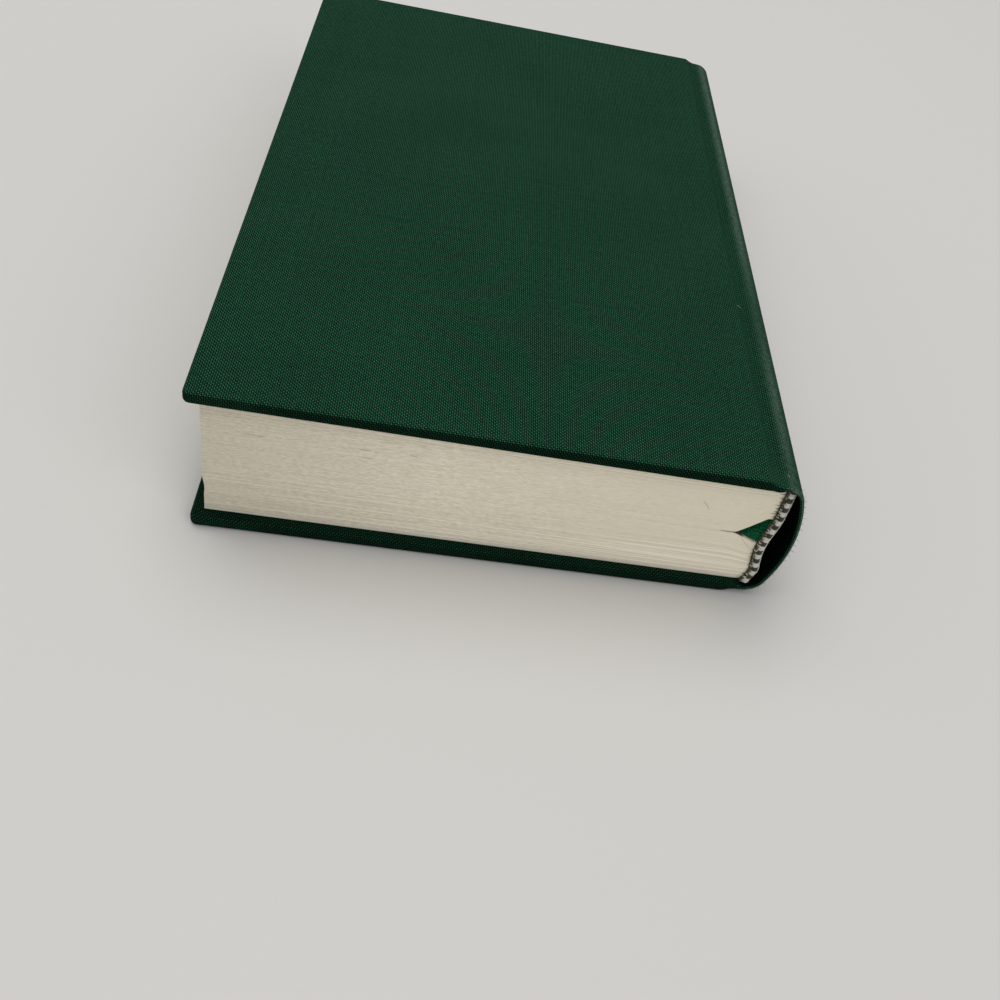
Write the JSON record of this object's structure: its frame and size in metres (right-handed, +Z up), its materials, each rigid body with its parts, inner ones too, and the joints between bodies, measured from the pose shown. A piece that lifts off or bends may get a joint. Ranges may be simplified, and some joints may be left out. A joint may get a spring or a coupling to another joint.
{
  "type": "hardback book",
  "caption": "Closed cloth-bound hardback book with a hollow back, checked end bands and a ribbon marker; both covers open.",
  "frame": {"origin": "middle of the footprint at the underside of the back cover", "axes": "+Z up through the front cover, +X towards the spine, +Y towards the tail, so the head edge faces -Y"},
  "size_m": [0.123, 0.19, 0.036],
  "materials": {
    "greyboard": "matte",
    "book_cloth": "woven",
    "mull": "open weave",
    "endpaper": "matte",
    "strip_card": "matte",
    "page_paper": "matte",
    "kraft_paper": "matte",
    "band_thread": "silk thread",
    "ribbon_satin": "satin"
  },
  "bodies": {
    "book_block": {"text_block": "page_paper", "front_flyleaf": "endpaper", "back_flyleaf": "endpaper", "spine_mull": "mull", "spine_lining": "kraft_paper", "head_band": "band_thread", "tail_band": "band_thread", "ribbon_marker": "ribbon_satin", "spine_strip": "strip_card", "spine_cloth": "book_cloth"},
    "front_cover": {"front_board": "greyboard", "front_cloth": "book_cloth", "front_mull_flange": "mull", "front_pastedown": "endpaper"},
    "back_cover": {"back_board": "greyboard", "back_cloth": "book_cloth", "back_mull_flange": "mull", "back_pastedown": "endpaper"}
  },
  "joints": [
    {"name": "front_cover_hinge", "type": "hinge", "parent": "book_block", "child": "front_cover", "pos_m": [0.05359, 0, 0.0334], "axis": [0, 1, 0], "range_deg": [0, 180]},
    {"name": "back_cover_hinge", "type": "hinge", "parent": "book_block", "child": "back_cover", "pos_m": [0.05359, 0, 0], "axis": [0, -1, 0], "range_deg": [0, 180]}
  ]
}
